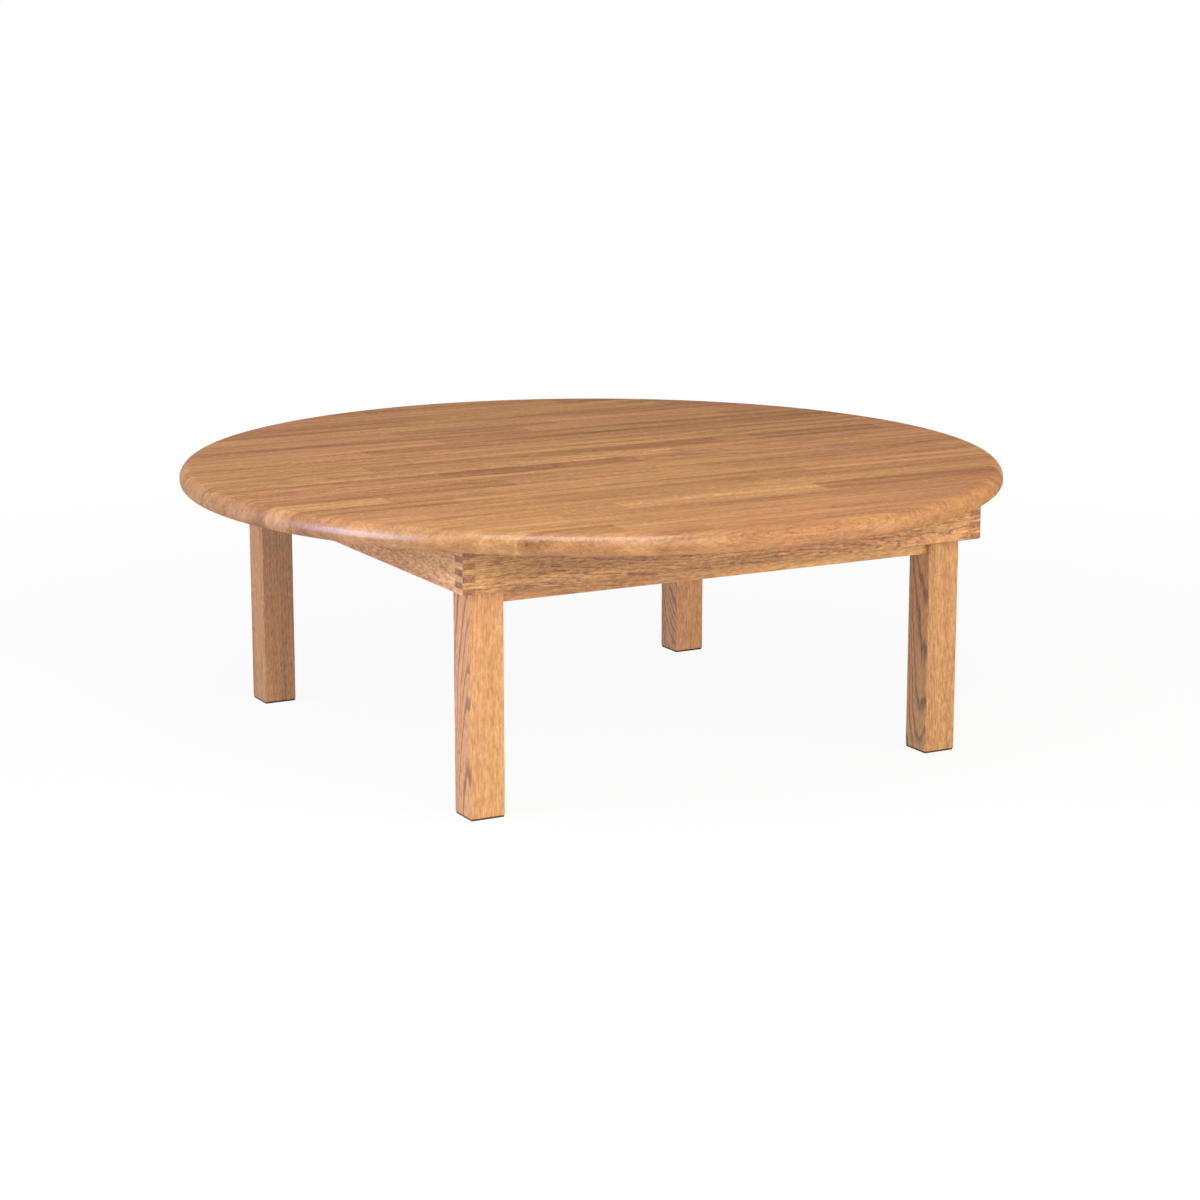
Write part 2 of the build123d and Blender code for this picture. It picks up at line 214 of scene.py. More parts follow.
def raysOf(tree, bent, radius):
    # rays: thin sheets that stand out from the pith and flash as flecks where a face follows them
    parts = addNode(tree, "ShaderNodeSeparateXYZ", None, {0: bent})
    angle = addNode(tree, "ShaderNodeMath", {"operation": "ARCTAN2"},
                    {0: parts.outputs[2], 1: parts.outputs[1]})
    rayAngle = addNode(tree, "ShaderNodeMath", {"operation": "MULTIPLY"},
                       {0: angle.outputs[0], 1: oak["rayRadius"] / oak["rayThickness"]})
    rayAlong = addNode(tree, "ShaderNodeMath", {"operation": "DIVIDE"},
                       {0: parts.outputs[0], 1: oak["rayHeight"]})
    rayOut = addNode(tree, "ShaderNodeMath", {"operation": "DIVIDE"},
                     {0: radius, 1: oak["rayReach"]})
    rayPlace = addNode(tree, "ShaderNodeCombineXYZ", None,
                       {0: rayAlong.outputs[0], 1: rayOut.outputs[0], 2: rayAngle.outputs[0]})
    rayNoise = addNode(tree, "ShaderNodeTexNoise", None,
                       {"Vector": rayPlace.outputs[0], "Scale": 1.0, "Detail": 1.0})
    return addNode(tree, "ShaderNodeMapRange", {"interpolation_type": "SMOOTHSTEP"},
                   {"Value": rayNoise.outputs["Fac"], "From Min": oak["rayNoise"][0],
                    "From Max": oak["rayNoise"][1]}).outputs[0]


def plankTone(tree, log, streak, shade, mottle, streaks):
    # bundles of fibres and broad streaks along the plank
    shades = []
    for noise, depth in ((streak, streaks), (logNoise(tree, log, "bundle"), mottle)):
        lighter = addNode(tree, "ShaderNodeMapRange", None,
                          {"Value": noise.outputs["Fac"], "From Min": oak["shadeNoise"][0],
                           "From Max": oak["shadeNoise"][1], "To Min": -depth, "To Max": depth})
        shades.append(lighter.outputs[0])
    mixture = addNode(tree, "ShaderNodeMath", {"operation": "ADD"}, {0: shades[0], 1: shades[1]})
    whole = addNode(tree, "ShaderNodeMath", {"operation": "ADD"}, {0: mixture.outputs[0], 1: shade})
    return addNode(tree, "ShaderNodeClamp", None,
                   {"Value": whole.outputs[0], "Min": oak["plankTones"][0],
                    "Max": oak["plankTones"][1]}).outputs[0]


def solidColour(tree, plank, early, ray, flecks, pore, normal, grain, endShare):
    # each part of the wood in the plank's tone, from the rings up to the end grain
    tints = {}
    for part, (dark, light) in oakColours.items():
        tints[part] = addNode(tree, "ShaderNodeMix", {"data_type": "RGBA", "clamp_factor": False},
                              {0: plank, 6: linearColour(dark), 7: linearColour(light)}).outputs[2]
    ringed = addNode(tree, "ShaderNodeMix", {"data_type": "RGBA"},
                     {0: early, 6: tints["lateWood"], 7: tints["earlyWood"]}).outputs[2]
    flecked = addNode(tree, "ShaderNodeMath", {"operation": "MULTIPLY"}, {0: ray, 1: flecks})
    rayed = addNode(tree, "ShaderNodeMix", {"data_type": "RGBA"},
                    {0: flecked.outputs[0], 6: ringed, 7: tints["ray"]}).outputs[2]
    poreDepth = addNode(tree, "ShaderNodeMath", {"operation": "MULTIPLY"},
                        {0: pore, 1: oak["poreTint"]})
    pored = addNode(tree, "ShaderNodeMix", {"data_type": "RGBA"},
                    {0: poreDepth.outputs[0], 6: rayed, 7: tints["pore"]}).outputs[2]

    # end grain drinks more oil and turns a dull purple brown
    facing = addNode(tree, "ShaderNodeVectorMath", {"operation": "DOT_PRODUCT"},
                     {0: normal, 1: grainAxes[grain]})
    facingEnd = addNode(tree, "ShaderNodeMath", {"operation": "ABSOLUTE"},
                        {0: facing.outputs["Value"]})
    endGrain = addNode(tree, "ShaderNodeMapRange", {"interpolation_type": "SMOOTHSTEP"},
                       {"Value": facingEnd.outputs[0], "From Min": oak["endGrainTurn"][0],
                        "From Max": oak["endGrainTurn"][1], "To Max": endShare})
    return addNode(tree, "ShaderNodeMix", {"data_type": "RGBA", "blend_type": "MULTIPLY"},
                   {0: endGrain.outputs[0], 6: pored, 7: tints["endGrain"]}).outputs[2]


def withCast(tree, soaked, streak, sway, casts):
    # the cast drifts with the streaks and from plank to plank
    streakParts = addNode(tree, "ShaderNodeSeparateColor", None, {0: streak.outputs["Color"]})
    lean = addNode(tree, "ShaderNodeMath", {"operation": "ADD"},
                   {0: streakParts.outputs[1], 1: sway.outputs["Fac"]})
    leanShare = addNode(tree, "ShaderNodeMapRange", None,
                        {"Value": lean.outputs[0], "From Min": oak["castLean"][0],
                         "From Max": oak["castLean"][1]})
    cast = addNode(tree, "ShaderNodeMix", {"data_type": "RGBA"},
                   {0: leanShare.outputs[0], 6: linearColour(casts[0]),
                    7: linearColour(casts[1])}).outputs[2]
    return addNode(tree, "ShaderNodeMix", {"data_type": "RGBA", "blend_type": "MULTIPLY"},
                   {0: 1.0, 6: soaked, 7: cast}).outputs[2]


def oiledSkin(tree, coloured, early, pore):
    # raised fibres scatter light that skims the surface, so the sheen fades towards grazing
    skim = addNode(tree, "ShaderNodeLayerWeight", None, {"Blend": 0.5})
    sheen = addNode(tree, "ShaderNodeMapRange", None,
                    {"Value": skim.outputs["Facing"], "From Min": oak["grazingTurn"][0],
                     "From Max": oak["grazingTurn"][1], "To Min": oak["roughness"],
                     "To Max": oak["grazingRoughness"]})
    gloss = addNode(tree, "ShaderNodeMath", {"operation": "MULTIPLY_ADD"},
                    {0: pore, 1: oak["poreRoughness"], 2: sheen.outputs[0]})
    depth = addNode(tree, "ShaderNodeMath", {"operation": "MULTIPLY_ADD"},
                    {0: early, 1: -oak["earlyDip"], 2: 1.0})
    height = addNode(tree, "ShaderNodeMath", {"operation": "SUBTRACT"},
                     {0: depth.outputs[0], 1: pore})
    bump = addNode(tree, "ShaderNodeBump", None,
                   {"Strength": oak["bumpStrength"], "Distance": oak["bumpDepth"] * millimetre,
                    "Height": height.outputs[0]})
    return addNode(tree, "ShaderNodeBsdfPrincipled", None,
                   {"Base Color": coloured, "Roughness": gloss.outputs[0], "IOR": oak["ior"],
                    "Specular IOR Level": oak["specular"], "Normal": bump.outputs[0]}).outputs[0]


def oiledOak(name, grain="X", shift=(0, 0, 0), tilt=(0, 0, 0), tone=0.5, figure=0.5,
             contrast=0.6, mottle=0.25, ringWidth=2.4, band=0.4, streaks=0.3, wave=1.0,
             endShare=1.0, casts=oakCasts, staves=False):
    material, tree = newMaterial(name)
    place = addNode(tree, "ShaderNodeTexCoord")
    if staves:  # every stave is cut from its own place in a log
        cut = addNode(tree, "ShaderNodeAttribute", {"attribute_name": "cutFrom"})
        shade = addNode(tree, "ShaderNodeAttribute", {"attribute_name": "tone"}).outputs["Fac"]
        flecks = addNode(tree, "ShaderNodeAttribute", {"attribute_name": "figure"}).outputs["Fac"]
        log = addNode(tree, "ShaderNodeVectorMath", {"operation": "MULTIPLY_ADD"},
                      {0: place.outputs["Object"], 1: (1 / millimetre,) * 3,
                       2: cut.outputs["Vector"]}).outputs[0]
        faceWay = place.outputs["Normal"]
    else:
        shade, flecks = tone, figure
        rotation = [a + b for a, b in zip(logTurns[grain], tilt)]
        log = addNode(tree, "ShaderNodeMapping", None,
                      {"Vector": place.outputs["Object"], "Location": shift, "Rotation": rotation,
                       "Scale": (1 / millimetre,) * 3}).outputs[0]
        faceWay = addNode(tree, "ShaderNodeMapping", {"vector_type": "NORMAL"},
                          {"Vector": place.outputs["Normal"], "Rotation": rotation}).outputs[0]

    # the trunk's sway bends the rings into arches where a face runs along them
    sway = logNoise(tree, log, "sway")
    bent = addNode(tree, "ShaderNodeVectorMath", {"operation": "MULTIPLY_ADD"},
                   {0: sway.outputs["Color"], 1: (0, 2 * oak["swayDepth"], 2 * oak["swayDepth"]),
                    2: log}).outputs[0]
    across = addNode(tree, "ShaderNodeVectorMath", {"operation": "MULTIPLY"},
                     {0: bent, 1: (0, 1, 1)}).outputs[0]
    radius = addNode(tree, "ShaderNodeVectorMath", {"operation": "LENGTH"},
                     {0: across}).outputs["Value"]

    early = growthRings(tree, log, across, radius, faceWay, contrast, ringWidth, band, wave)
    pore = poresOf(tree, log, early)
    ray = raysOf(tree, bent, radius)
    streak = logNoise(tree, log, "streak")
    plank = plankTone(tree, log, streak, shade, mottle, streaks)
    solid = solidColour(tree, plank, early, ray, flecks, pore, place.outputs["Normal"], grain,
                        endShare)
    coloured = withCast(tree, solid, streak, sway, casts)
    skin = oiledSkin(tree, coloured, early, pore)
    addNode(tree, "ShaderNodeOutputMaterial", None, {"Surface": skin})
    return material


# the top: staves glued edge to edge and end to end
topDisc = {
    # the turned rim, in metres
    "upperRound": 0.015,
    "lowerRound": 0.0095,
    "arcSteps": 9,
    "stepsAround": 240,
    "cutTolerance": 1e-7,
    # rows of staves, counted from the middle, in metres
    "staveWidth": 0.038,
    "staveOffset": 0.021,
    "lastRow": 13,
    # staves along a row, in mm
    "rowEnd": 500.0,
    "shortestEnd": 40.0,
    "shortestStave": 190.0,
    "longestStave": 460.0,
    "clearOfChosen": 50.0,
    # their tones, and how much a stave that stands out differs
    "meanTone": 0.205,
    "toneSpread": 0.08,
    "darkStep": (-0.22, -0.12),
    "lightStep": (0.1, 0.2),
    "figuredStep": (0.18, 0.28),
    # where each is cut from a log: along it and out from the pith in mm, and at which angle
    "alongLog": 4000.0,
    "fromPith": (50.0, 120.0),
    "cutAngle": (0.1, 1.5),
    "pithLevel": -315.0,
    "rayShare": (0.1, 0.4),
    "figuredRays": 0.6,
    "figuredAngle": 0.12,
    "seed": 7,
}
# staves that stand out: row, start and end in mm from the middle, and what is special
chosenStaves = [
    (9, -500, -175, "dark"),
    (9, 291, 420, "dark"),
    (6, 29, 131, "light"),
    (4, -233, 20, "dark"),
    (3, -160, 95, "light"),
    (1, -280, -8, "dark"),
    (1, 36, 204, "dark"),
    (1, 255, 444, "dark"),
    (0, -146, 117, "figured"),
    (-1, -219, 44, "dark"),
    (-4, -500, -342, "light"),
    (-5, -500, -273, "dark"),
    (-7, -500, -342, "light"),
    (-8, -124, 138, "figured"),
    (-8, 138, 392, "dark"),
    (-11, -189, 73, "light"),
]

topLow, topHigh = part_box("tabletop")
discRadius = min(-topLow.x, topHigh.x, -topLow.y, topHigh.y)


def rimProfile():
    # (distance from the middle, height) from the underside to the upper face
    points = []
    steps = topDisc["arcSteps"]
    lower, upper = topDisc["lowerRound"], topDisc["upperRound"]
    for size, centreZ, start in ((lower, topLow.z + lower, -90), (upper, topHigh.z - upper, 0)):
        for i in range(steps + 1):
            a = math.radians(start + 90 * i / steps)
            points.append((discRadius - size + size * math.cos(a), centreZ + size * math.sin(a)))
    return points


def rimNormal(point):
    # the exact normal of the turned rim, so that the cuts between staves don't show in the shading
    out = math.hypot(point.x, point.y)
    upper, lower = topDisc["upperRound"], topDisc["lowerRound"]
    if point.z > topHigh.z - upper:
        centre = discRadius - upper, topHigh.z - upper
    elif point.z < topLow.z + lower:
        centre = discRadius - lower, topLow.z + lower
    else:
        return Vector((point.x, point.y, 0)).normalized()
    slope = max(out - centre[0], 0.0), point.z - centre[1]
    if slope[0] == 0.0:
        return Vector((0, 0, math.copysign(1, slope[1])))
    return Vector((point.x / out * slope[0], point.y / out * slope[0], slope[1])).normalized()


def drawStaves():
    # joints between the staves of each row at drawn places, made to fit the chosen staves
    dice = random.Random(topDisc["seed"])
    shortest, longest = topDisc["shortestStave"], topDisc["longestStave"]
    rowEnd, clear = topDisc["rowEnd"], topDisc["clearOfChosen"]
    lastJoint = rowEnd - topDisc["shortestEnd"]
    rows = {}
    for row in range(-topDisc["lastRow"], topDisc["lastRow"] + 1):
        joints = [-rowEnd + dice.uniform(topDisc["shortestEnd"], longest)]
        while joints[-1] < rowEnd:
            joints.append(joints[-1] + dice.uniform(shortest, longest))
        for chosenRow, start, end, kind in chosenStaves:
            if chosenRow == row:
                joints = [j for j in joints if j < start - clear or j > end + clear] + [start, end]
        rows[row] = sorted(j * millimetre for j in joints if -lastJoint < j < lastJoint)
    return rows


def staveOf(point, staveJoints):
    row = math.ceil((point.y - topDisc["staveOffset"]) / topDisc["staveWidth"])
    row = max(-topDisc["lastRow"], min(topDisc["lastRow"], row))
    return row, sum(point.x >= joint for joint in staveJoints[row])


def turnedDisc(work):
    # the whole top as one turned solid
    steps = topDisc["stepsAround"]
    angles = [math.tau * i / steps for i in range(steps)]
    rings = [[work.verts.new((out * math.cos(a), out * math.sin(a), z)) for a in angles]
             for out, z in rimProfile()]
    for inner, outer in zip(rings, rings[1:]):
        for i in range(steps):
            j = (i + 1) % steps
            work.faces.new((inner[i], inner[j], outer[j], outer[i]))
    work.faces.new(rings[-1])
    work.faces.new(list(reversed(rings[0])))


def cutIntoStaves(work, staveJoints):
    # between the rows, and then across each row at its joints
    def cut(verts, edges, faces, place, way):
        bmesh.ops.bisect_plane(work, geom=[*verts, *edges, *faces], dist=topDisc["cutTolerance"],
                               plane_co=place, plane_no=way)

    for row in range(-topDisc["lastRow"], topDisc["lastRow"]):
        y = topDisc["staveOffset"] + row * topDisc["staveWidth"]
        cut(work.verts, work.edges, work.faces, (0, y, 0), (0, 1, 0))
    for row, joints in staveJoints.items():
        for joint in joints:
            faces = [f for f in work.faces
                     if staveOf(f.calc_center_median(), staveJoints)[0] == row]
            edges = {e for f in faces for e in f.edges}
            verts = {v for f in faces for v in f.verts}
            cut(verts, edges, faces, (joint, 0, 0), (1, 0, 0))


def drawCuts(staveJoints):
    # for each stave: its place in a log, its tone and how much its rays show
    dice = random.Random(topDisc["seed"])
    rowEnd = topDisc["rowEnd"] * millimetre
    cuts = {}
    for row, joints in staveJoints.items():
        for i in range(len(joints) + 1):
            along = dice.uniform(-topDisc["alongLog"], topDisc["alongLog"])
            reach = dice.uniform(*topDisc["fromPith"])
            # an angle of 0 is quarter sawn, and a quarter of a turn is flat sawn
            turned = dice.choice((-1, 1)) * dice.uniform(*topDisc["cutAngle"])
            rays = dice.uniform(*topDisc["rayShare"])
            light = dice.gauss(topDisc["meanTone"], topDisc["toneSpread"])
            middle = sum(([-rowEnd] + joints + [rowEnd])[i:i + 2]) / 2 / millimetre
            for chosenRow, start, end, look in chosenStaves:
                if chosenRow == row and start < middle < end:
                    light = topDisc["meanTone"] + dice.uniform(*topDisc[look + "Step"])
                    if look == "figured":
                        rays, turned = topDisc["figuredRays"], topDisc["figuredAngle"]
            y = (topDisc["staveOffset"] + (row - 0.5) * topDisc["staveWidth"]) / millimetre
            shift = (along, -y + reach * math.cos(turned),
                     topDisc["pithLevel"] + reach * math.sin(turned))
            cuts[row, i] = shift, light, rays
    return cuts


def buildTop():
    mesh = bpy.data.meshes.new("top_of_staves")
    staveJoints = drawStaves()
    work = bmesh.new()
    turnedDisc(work)
    cutIntoStaves(work, staveJoints)
    work.to_mesh(mesh)
    work.free()

    cuts = drawCuts(staveJoints)
    cutFrom = mesh.attributes.new("cutFrom", "FLOAT_VECTOR", "FACE")
    tone = mesh.attributes.new("tone", "FLOAT", "FACE")
    figure = mesh.attributes.new("figure", "FLOAT", "FACE")
    for face in mesh.polygons:
        shift, light, rays = cuts[staveOf(face.center, staveJoints)]
        cutFrom.data[face.index].vector = shift
        tone.data[face.index].value = light
        figure.data[face.index].value = rays
    mesh.shade_smooth()
    mesh.normals_split_custom_set_from_vertices([rimNormal(v.co) for v in mesh.vertices])
    print("top made of", len(cuts), "staves")
    return mesh


staveOak = oiledOak("oiled_oak_staves", contrast=0.4, mottle=0.2, ringWidth=2.0, streaks=0.34,
                    endShare=0.2, casts=topCasts, staves=True)
pieceFromMesh("top_of_staves", buildTop(), staveOak, "tabletop_and_frame", ["tabletop"])


# frame, legs and small oak parts keep their CAD shape and get their own plank of oak
# grain axis, where the pith lies from the piece's middle (mm across the grain), tilt, and its look
oakPieces = {
    "left_rail": ("Y", (20, 85), (0.0, 0.025, 0.02),
                  {"tone": 0.6, "contrast": 0.5, "mottle": 0.6, "ringWidth": 2.2,
                   "streaks": 0.45, "wave": 1.6}),
    "right_rail": ("Y", (30, 80), (0.0, -0.02, 0.02),
                   {"tone": 0.55, "figure": 0.3, "contrast": 0.5, "mottle": 0.6, "ringWidth": 2.2,
                    "streaks": 0.45}),
    "front_rail": ("X", (70, 25), (0.0, 0.02, 0.03),
                   {"tone": 0.41, "contrast": 0.8, "mottle": 0.5, "ringWidth": 2.2,
                    "streaks": 0.42, "wave": 2.2}),
    "back_rail": ("X", (-80, 10), (0.0, 0.02, -0.02),
                  {"tone": 0.52, "figure": 0.4, "contrast": 0.5, "mottle": 0.6, "ringWidth": 2.2,
                   "streaks": 0.45}),
    "front_left_leg": ("Z", (6, 42), (0.0, -0.012, 0.0),
                       {"tone": 0.64, "figure": 0.12, "contrast": 1.0, "mottle": 0.38,
                        "ringWidth": 3.0, "band": 0.42, "streaks": 0.15, "wave": 0.35}),
    "front_right_leg": ("Z", (-8, 36), (0.0, 0.03, 0.0),
                        {"tone": 0.43, "figure": 0.2, "contrast": 1.0, "mottle": 0.36,
                         "band": 0.5, "wave": 0.6}),
    "back_left_leg": ("Z", (60, 40), (0.0, 0.02, 0.0),
                      {"tone": 0.35, "figure": 0.3, "mottle": 0.35}),
    "back_right_leg": ("Z", (4, 38), (0.0, 0.05, 0.0),
                       {"tone": 0.73, "figure": 0.2, "contrast": 1.0, "mottle": 0.45,
                        "ringWidth": 2.6, "band": 0.42, "wave": 0.5}),
    "front_cross_rail": ("X", (80, 20), (0.0, 0.02, 0.02),
                         {"figure": 0.4, "contrast": 0.5, "mottle": 0.4}),
    "back_cross_rail": ("X", (-60, 50), (0.0, 0.02, 0.02),
                        {"figure": 0.4, "contrast": 0.5, "mottle": 0.4}),
    "left_latch_block": ("X", (40, 60), (0.0, 0.02, 0.02), {"tone": 0.46, "figure": 0.3}),
    "right_latch_block": ("X", (-40, 70), (0.0, 0.02, 0.02), {"tone": 0.52, "figure": 0.3}),
    "left_turn_button": ("X", (20, 70), (0.0, 0.02, 0.02), {"tone": 0.4, "figure": 0.3}),
    "right_turn_button": ("X", (-30, 60), (0.0, 0.02, 0.02), {"tone": 0.44, "figure": 0.3}),
}
sides = ("left", "right")
ends = {"front": -1, "back": 1}  # and on which side of the middle each lies, along Y
cleatNumbers = (1, 2, 3)         # along each end rail
for end in ends:
    for number in cleatNumbers:
        oakPieces[f"{end}_cleat_{number}"] = (
            "Y", (30 * number - 50, 60), (0.0, 0.02, 0.02),
            {"tone": 0.44 + 0.04 * number, "figure": 0.3})
logSpacing = 700  # mm between the places in the log that two pieces are cut from

for index, (name, (grain, pith, tilt, look)) in enumerate(oakPieces.items()):
    lowest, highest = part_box(name)
    middle = (lowest + highest) / 2 / millimetre
    middle.rotate(Euler([a + b for a, b in zip(logTurns[grain], tilt)]))
    shift = (-middle.x + logSpacing * (index + 1), -middle.y + pith[0], -middle.z + pith[1])
    node = frame["nodes"][name]
    node.data.materials.clear()
    node.data.materials.append(oiledOak("oiled_oak_" + name, grain, shift, tilt, **look))
print("oak pieces:", len(oakPieces))


# metal, nylon and felt
plainFinishes = {
    # turned brass: fine marks that catch the light, a warm yellow that dulls a little in the air
    "brass": {"name": "turned_brass", "light": "#c9a45c", "dark": "#a9833f",
              "metallic": 1.0, "roughness": 0.3, "bump": 0.5, "markSize": 0.6},
    # steel with a bright zinc plate: a cool grey with a faint mottle, half dull
    "zinc_steel": {"name": "zinc_plated_steel", "light": "#b4b8bc", "dark": "#94999e",
                   "metallic": 1.0, "roughness": 0.36, "bump": 0.3, "markSize": 1.5},
    # nickel plate on a magnet: smooth, brighter and slightly warm
    "nickel": {"name": "nickel_plated_magnet", "light": "#c9c6bf", "dark": "#b5b1a8",
               "metallic": 1.0, "roughness": 0.2, "bump": 0.1, "markSize": 2.0},
    # natural nylon, moulded: milky and waxy
    "nylon": {"name": "moulded_nylon", "light": "#ddd8ca", "dark": "#cfc8b6",
              "metallic": 0.0, "roughness": 0.45, "bump": 0.1, "markSize": 1.2},
    # pressed wool felt: matt, with fibres that scatter the light
    "felt": {"name": "pressed_wool_felt", "light": "#5a4433", "dark": "#3c2c20",
             "metallic": 0.0, "roughness": 0.95, "bump": 1.0, "markSize": 0.5, "sheen": 0.3},
}
finishDetail = {
    "roughnessPlay": 0.05,  # to either side
    "bumpDepth": 0.1,       # in mm, as the size of the marks that making it left
    "sheenRoughness": 0.5,
}


def plainFinish(name, light, dark, metallic, roughness, bump, markSize, sheen=0.0):
    material, tree = newMaterial(name)
    place = addNode(tree, "ShaderNodeTexCoord")
    marks = addNode(tree, "ShaderNodeTexNoise", None,
                    {"Vector": place.outputs["Object"], "Scale": 1 / (markSize * millimetre),
                     "Detail": 3.0})
    tint = addNode(tree, "ShaderNodeMix", {"data_type": "RGBA"},
                   {0: marks.outputs["Fac"], 6: linearColour(dark), 7: linearColour(light)})
    play = finishDetail["roughnessPlay"]
    gloss = addNode(tree, "ShaderNodeMapRange", None,
                    {"Value": marks.outputs["Fac"], "To Min": roughness - play,
                     "To Max": roughness + play})
    relief = addNode(tree, "ShaderNodeBump", None,
                     {"Strength": bump, "Distance": finishDetail["bumpDepth"] * millimetre,
                      "Height": marks.outputs["Fac"]})
    shader = addNode(tree, "ShaderNodeBsdfPrincipled", None,
                     {"Base Color": tint.outputs[2], "Metallic": metallic,
                      "Roughness": gloss.outputs[0], "Normal": relief.outputs[0],
                      "Sheen Weight": sheen, "Sheen Roughness": finishDetail["sheenRoughness"]})
    addNode(tree, "ShaderNodeOutputMaterial", None, {"Surface": shader.outputs[0]})
    return material


finishes = {slot: plainFinish(**finish) for slot, finish in plainFinishes.items()}
for part in frame["record"]["subparts"]:
    if part["material_slot"] in finishes:
        node = frame["nodes"][part["node"]]
        node.data.materials.clear()
        node.data.materials.append(finishes[part["material_slot"]])
print("finishes:", ", ".join(sorted(finishes)))


# wood screws: one tree of nodes makes every kind, with a cross recess and a rolled thread
screwKinds = {
    # in mm; a headTop of 0 is a countersunk head, and any other stands that far above its seat
    "cleat_screws": {"body": "tabletop_and_frame", "shank": 4.0, "head": 8.0, "headTop": 0.0,
                     "length": 28.0, "pitch": 1.8, "plainShank": 9.0},
    "block_screws": {"body": "tabletop_and_frame", "shank": 4.0, "head": 8.0, "headTop": 0.0,
                     "length": 36.0, "pitch": 1.8, "plainShank": 12.0},
    "button_screws": {"body": "tabletop_and_frame", "shank": 5.0, "head": 10.0, "headTop": 3.0,
                      "length": 34.0, "pitch": 2.2, "plainShank": 10.0},
    "magnet_screws": {"body": "tabletop_and_frame", "shank": 3.0, "head": 6.0, "headTop": 0.0,
                      "length": 13.0, "pitch": 1.35, "plainShank": 5.5},
    "front_strike_screws": {"body": "front_leg_pair", "shank": 3.0, "head": 6.0, "headTop": 0.0,
                            "length": 9.0, "pitch": 1.35, "plainShank": 3.0},
    "back_strike_screws": {"body": "back_leg_pair", "shank": 3.0, "head": 6.0, "headTop": 0.0,
                           "length": 9.0, "pitch": 1.35, "plainShank": 3.0},
}
screwShape = {
    "pointLength": 3.0,     # mm
    "coreShare": 0.7,       # of the shank's diameter, under the thread
    "pointShare": 0.2,      # of the core's diameter, at the tip
    "panHeadTaper": 0.82,   # a pan head's top over its foot
    "armLength": 0.6,       # of a cross recess, over the head's diameter
    "armWidth": 0.15,
    "armDepth": 0.22,
    "sides": 32,
    "stepsPerTurn": 14,     # of the thread
    "ridgeSides": 3,
    "seed": 11,             # for how far each one was driven
}
screwSeats = {
    # in mm, from the end, the edge or the lower face of the piece they hold
    "fromCleatEnd": 12.0,
    "fromBlockEnd": 11.0,
    "upBlock": 24.0,
    "upButton": 3.0,
}


def screwPlaces(kind):
    # (place of the seat, way out of the head) for each screw, worked out from what it holds
    places = []
    seats = {name: size * millimetre for name, size in screwSeats.items()}
    for end, ey in ends.items():
        if kind == "cleat_screws":
            for number in cleatNumbers:
                low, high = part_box(f"{end}_cleat_{number}")
                y = ey * (min(abs(low.y), abs(high.y)) + seats["fromCleatEnd"])
                places.append((((low.x + high.x) / 2, y, low.z), (0, 0, -1)))
        for side in sides:
            if kind == "magnet_screws":
                low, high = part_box(f"{end}_{side}_catch_magnet")
                face = low.y if ey > 0 else high.y
                places.append((((low.x + high.x) / 2, face, (low.z + high.z) / 2), (0, -ey, 0)))
            if kind == end + "_strike_screws":
                low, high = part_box(f"{end}_{side}_strike_disc")
                face = high.y if ey > 0 else low.y
                places.append((((low.x + high.x) / 2, face, (low.z + high.z) / 2), (0, ey, 0)))
    for side in sides:
        if kind == "block_screws":
            low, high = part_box(f"{side}_latch_block")
            for x in (low.x + seats["fromBlockEnd"], high.x - seats["fromBlockEnd"]):
                places.append(((x, 0, low.z + seats["upBlock"]), (0, 0, -1)))
        if kind == "button_screws":
            low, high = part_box(f"{side}_turn_button")
            places.append((((low.x + high.x) / 2, 0, low.z + seats["upButton"]), (0, 0, -1)))
    return places


def screwSizes(kind):
    # everything the tree takes, in metres
    shank, head, headTop, length, pitch, plainShank = [
        screwKinds[kind][n] for n in ("shank", "head", "headTop", "length", "pitch", "plainShank")]
    shape = screwShape
    panHead = headTop > 0
    topAcross = head * shape["panHeadTaper"] if panHead else head
    headFoot = 0.0 if panHead else (head - shank) / 2  # how far it goes below its seat
    armWidth, armLength, armDepth = [topAcross * shape[n]
                                     for n in ("armWidth", "armLength", "armDepth")]
    straight = length - shape["pointLength"]
    core = shank / 2 * shape["coreShare"]
    sizes = {
        "topRadius": topAcross / 2,
        "footRadius": head / 2 if panHead else shank / 2,
        "headDepth": headTop + headFoot,
        "headPlace": (0, 0, -headFoot),
        "armAcross": (armWidth, armLength, 2 * armDepth),
        "armAlong": (armLength, armWidth, 2 * armDepth),
        "armPlace": (0, 0, headTop),
        "shankRadius": shank / 2,
        "plainShank": plainShank,
        "plainPlace": (0, 0, -plainShank / 2),
        "coreRadius": core,
        "straight": straight,
        "straightPlace": (0, 0, -straight / 2),
        "pointRadius": core * shape["pointShare"],
        "pointLength": shape["pointLength"],
        "pointPlace": (0, 0, -length),
        "threadRadius": (shank / 2 + core) / 2,
        "ridgeRadius": (shank / 2 - core) / 2,
        "threadLength": straight - plainShank,
        "threadPlace": (0, 0, -straight),
    }
    for name, size in sizes.items():
        sizes[name] = ([v * millimetre for v in size] if isinstance(size, tuple)
                       else size * millimetre)
    return {**sizes, "rounds": (straight - plainShank) / pitch}


